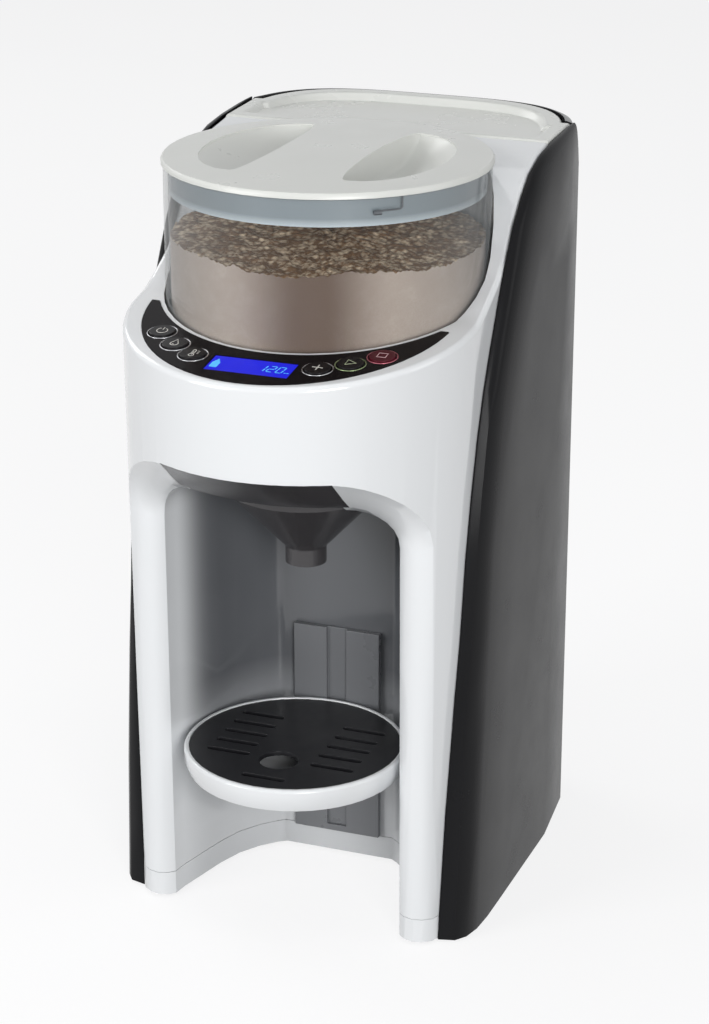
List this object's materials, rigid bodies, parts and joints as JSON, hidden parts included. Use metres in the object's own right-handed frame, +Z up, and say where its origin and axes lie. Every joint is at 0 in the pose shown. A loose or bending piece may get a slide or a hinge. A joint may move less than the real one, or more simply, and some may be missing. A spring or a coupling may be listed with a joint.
{
  "type": "baby formula maker",
  "caption": "Automatic formula mixer: round powder hopper, tilted key panel, open bottle bay with a height-adjustable tray, pull-out funnel and lift-out rear water tank.",
  "frame": {"origin": "centre of the machine's footprint, on the table", "axes": "+X to the machine's left as it faces the user (the viewer's right), +Y towards the back, +Z up"},
  "size_m": [0.192, 0.271, 0.3826],
  "materials": {
    "white_shell": "gloss",
    "white_satin": "satin",
    "dark_panel": "gloss",
    "black_gloss": "gloss",
    "smoke": "tinted, see-through, gloss",
    "clear": "clear, gloss",
    "grille_black": "satin",
    "display_blue": "lit display behind a gloss window",
    "key_red": "gloss",
    "board_green": "satin",
    "rubber": "matte",
    "steel": "satin",
    "acetal": "satin",
    "motor_can": "satin",
    "silicone": "satin"
  },
  "bodies": {
    "root": {"front_shell": "white_shell", "base_skirt": "white_shell", "rear_base": "dark_panel", "rear_bulkhead": "white_satin", "left_side_panel": "dark_panel", "right_side_panel": "dark_panel", "cord_inlet": "black_gloss", "front_left_foot": "rubber", "front_right_foot": "rubber", "rear_left_foot": "rubber", "rear_right_foot": "rubber", "valve_socket": "acetal", "gearbox_base": "white_satin", "gearbox_cover": "white_satin", "gearbox_screw_1": "steel", "gearbox_screw_2": "steel", "gearbox_screw_3": "steel", "gearbox_screw_4": "steel", "shaft_bearing": "steel", "idler_pin": "steel", "motor": "motor_can", "powder_chute": "white_satin", "control_panel": "black_gloss", "display_screen": "display_blue", "display_board": "board_green", "tray_track": "white_satin", "pump": "motor_can", "heater": "steel", "supply_hose": "silicone", "pump_hose": "silicone", "nozzle_hose": "silicone", "water_nozzle": "acetal", "power_board": "board_green", "main_board": "board_green"},
    "tank": {"water_tank": "smoke", "valve_cage": "acetal", "valve_spring": "steel"},
    "valve": {"tank_valve": "acetal"},
    "deck_lid": {"tank_lid": "white_shell"},
    "container": {"hopper_container": "clear"},
    "lid": {"hopper_lid": "white_satin"},
    "wheel": {"powder_wheel": "white_satin", "stirrer": "white_satin"},
    "drive": {"drive_shaft": "steel", "drive_coupling": "acetal", "wheel_gear": "acetal"},
    "idler": {"idler_gear": "acetal"},
    "pinion": {"motor_pinion": "acetal"},
    "funnel_drawer": {"funnel": "smoke", "funnel_cover": "smoke"},
    "tray_carrier": {"tray": "white_shell", "tray_bracket": "white_shell"},
    "grille": {"tray_grille": "grille_black"},
    "key_power": {"key_power": "black_gloss"},
    "key_water": {"key_water": "black_gloss"},
    "key_temperature": {"key_temperature": "black_gloss"},
    "key_amount": {"key_amount": "black_gloss"},
    "key_start": {"key_start": "black_gloss"},
    "key_stop": {"key_stop": "key_red"}
  },
  "joints": [
    {"name": "container_lift", "type": "slide", "parent": "root", "child": "container", "axis": [0, 0, 1], "range_m": [0, 0.105]},
    {"name": "lid_lift", "type": "slide", "parent": "container", "child": "lid", "axis": [0, 0, 1], "range_m": [0, 0.05]},
    {"name": "drive_spin", "type": "hinge", "parent": "root", "child": "drive", "pos_m": [0, -0.018, 0.269], "axis": [0, 0, 1], "continuous": true},
    {"name": "wheel_spin", "type": "hinge", "parent": "container", "child": "wheel", "pos_m": [0, -0.018, 0.288], "axis": [0, 0, 1], "continuous": true},
    {"name": "idler_spin", "type": "hinge", "parent": "root", "child": "idler", "pos_m": [0, 0.012, 0.269], "axis": [0, 0, 1], "continuous": true},
    {"name": "pinion_spin", "type": "hinge", "parent": "root", "child": "pinion", "pos_m": [0, 0.033, 0.269], "axis": [0, 0, 1], "continuous": true},
    {"name": "funnel_slide", "type": "slide", "parent": "root", "child": "funnel_drawer", "axis": [0, -1, 0], "range_m": [0, 0.13]},
    {"name": "tray_height", "type": "slide", "parent": "root", "child": "tray_carrier", "axis": [0, 0, 1], "range_m": [-0.045, 0.03]},
    {"name": "grille_lift", "type": "slide", "parent": "tray_carrier", "child": "grille", "axis": [0, 0, 1], "range_m": [0, 0.04]},
    {"name": "tank_lift", "type": "slide", "parent": "root", "child": "tank", "axis": [0, 0, 1], "range_m": [0, 0.362]},
    {"name": "deck_lid_lift", "type": "slide", "parent": "tank", "child": "deck_lid", "axis": [0, 0, 1], "range_m": [0, 0.03]},
    {"name": "valve_lift", "type": "slide", "parent": "tank", "child": "valve", "axis": [0, 0, 1], "range_m": [0, 0.002], "stiffness_N_per_m": 120, "deforming": ["valve_spring"]},
    {"name": "press_power", "type": "slide", "parent": "root", "child": "key_power", "axis": [0, 0.1435, -0.9897], "range_m": [0, 0.0008], "stiffness_N_per_m": 250},
    {"name": "press_water", "type": "slide", "parent": "root", "child": "key_water", "axis": [0, 0.1435, -0.9897], "range_m": [0, 0.0008], "stiffness_N_per_m": 250},
    {"name": "press_temperature", "type": "slide", "parent": "root", "child": "key_temperature", "axis": [0, 0.1435, -0.9897], "range_m": [0, 0.0008], "stiffness_N_per_m": 250},
    {"name": "press_amount", "type": "slide", "parent": "root", "child": "key_amount", "axis": [0, 0.1435, -0.9897], "range_m": [0, 0.0008], "stiffness_N_per_m": 250},
    {"name": "press_start", "type": "slide", "parent": "root", "child": "key_start", "axis": [0, 0.1435, -0.9897], "range_m": [0, 0.0008], "stiffness_N_per_m": 250},
    {"name": "press_stop", "type": "slide", "parent": "root", "child": "key_stop", "axis": [0, 0.1435, -0.9897], "range_m": [0, 0.0008], "stiffness_N_per_m": 250}
  ],
  "couplings": [
    {"joint": "wheel_spin", "follows": "drive_spin", "ratio": 1},
    {"joint": "idler_spin", "follows": "drive_spin", "ratio": -1.2222},
    {"joint": "pinion_spin", "follows": "drive_spin", "ratio": 2.2}
  ]
}
